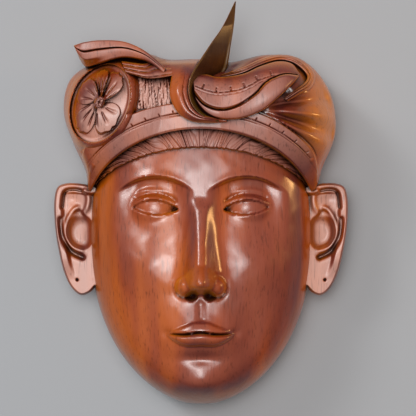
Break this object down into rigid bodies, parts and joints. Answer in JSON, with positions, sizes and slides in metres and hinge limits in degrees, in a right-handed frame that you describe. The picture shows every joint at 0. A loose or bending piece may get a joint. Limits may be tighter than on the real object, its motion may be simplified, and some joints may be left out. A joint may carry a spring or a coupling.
{
  "type": "wall mask",
  "caption": "Carved wooden wall mask of a calm face under a wrapped and knotted head cloth with a flower, in polished red-brown wood, hollowed behind",
  "frame": {"origin": "centre of the bounding box in X and Y, on the flat back at z = 0", "axes": "+Z the way the face looks, out of the wall; +Y towards the top of the head; +X to the right of a viewer facing the mask"},
  "size_m": [0.234, 0.3197, 0.1132],
  "materials": {
    "varnished_wood": "red-brown carved hardwood under a polished clear varnish"
  },
  "bodies": {
    "root": {"mask": "varnished_wood"}
  },
  "joints": []
}
